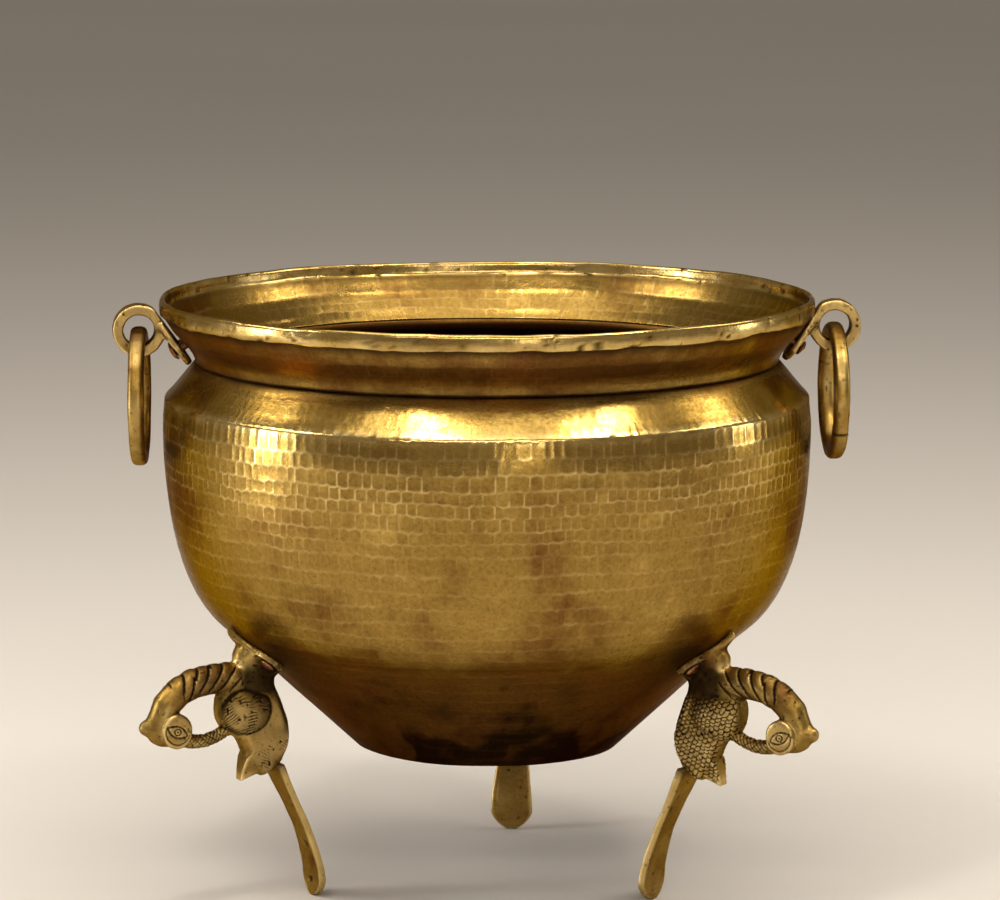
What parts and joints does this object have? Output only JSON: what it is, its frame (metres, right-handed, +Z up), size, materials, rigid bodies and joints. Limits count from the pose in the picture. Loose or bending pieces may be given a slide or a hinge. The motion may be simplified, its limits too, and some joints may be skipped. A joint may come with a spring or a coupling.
{
  "type": "footed brass planter pot",
  "caption": "Hammered brass planter bowl with a flared collar, loose ring handles in cast lugs, and cast animal-head tripod legs.",
  "frame": {"origin": "on the floor, under the middle of the whole object's box; the pot's axis stands 13.5 mm in front of it, because the rear leg reaches back", "axes": "+Z up; +X from the left ring handle to the right one; +Y away from the front"},
  "size_m": [0.4331, 0.4087, 0.3448],
  "materials": {
    "hammered_brass": "aged, hand-hammered satin with brown patina",
    "cast_brass": "aged casting, worn bright on its high places, dark in its grooves",
    "pale_brass": "pitted pale casting, filed and dull",
    "copper": null
  },
  "bodies": {
    "pot": {"bowl": "hammered_brass", "rim_collar": "hammered_brass", "handle_lug_left": "cast_brass", "lug_rivet_left_1": "copper", "lug_rivet_left_2": "copper", "handle_lug_right": "cast_brass", "lug_rivet_right_1": "copper", "lug_rivet_right_2": "copper", "leg_bracket_left": "cast_brass", "leg_shank_left": "pale_brass", "leg_rivet_left_1": "copper", "leg_rivet_left_2": "copper", "leg_bracket_right": "cast_brass", "leg_shank_right": "pale_brass", "leg_rivet_right_1": "copper", "leg_rivet_right_2": "copper", "leg_bracket_rear": "cast_brass", "leg_shank_rear": "pale_brass", "leg_rivet_rear_1": "copper", "leg_rivet_rear_2": "copper"},
    "ring_left": {"ring_handle_left": "cast_brass"},
    "ring_right": {"ring_handle_right": "cast_brass"}
  },
  "joints": [
    {"name": "ring_swing_left", "type": "hinge", "parent": "pot", "child": "ring_left", "pos_m": [-0.20049, -0.03812, 0.3241], "axis": [-0.0209, 0.9998, 0], "range_deg": [-6, 195]},
    {"name": "ring_swing_right", "type": "hinge", "parent": "pot", "child": "ring_right", "pos_m": [0.202, -0.0135, 0.3241], "axis": [0.0584, -0.9983, 0], "range_deg": [-6, 195]}
  ]
}
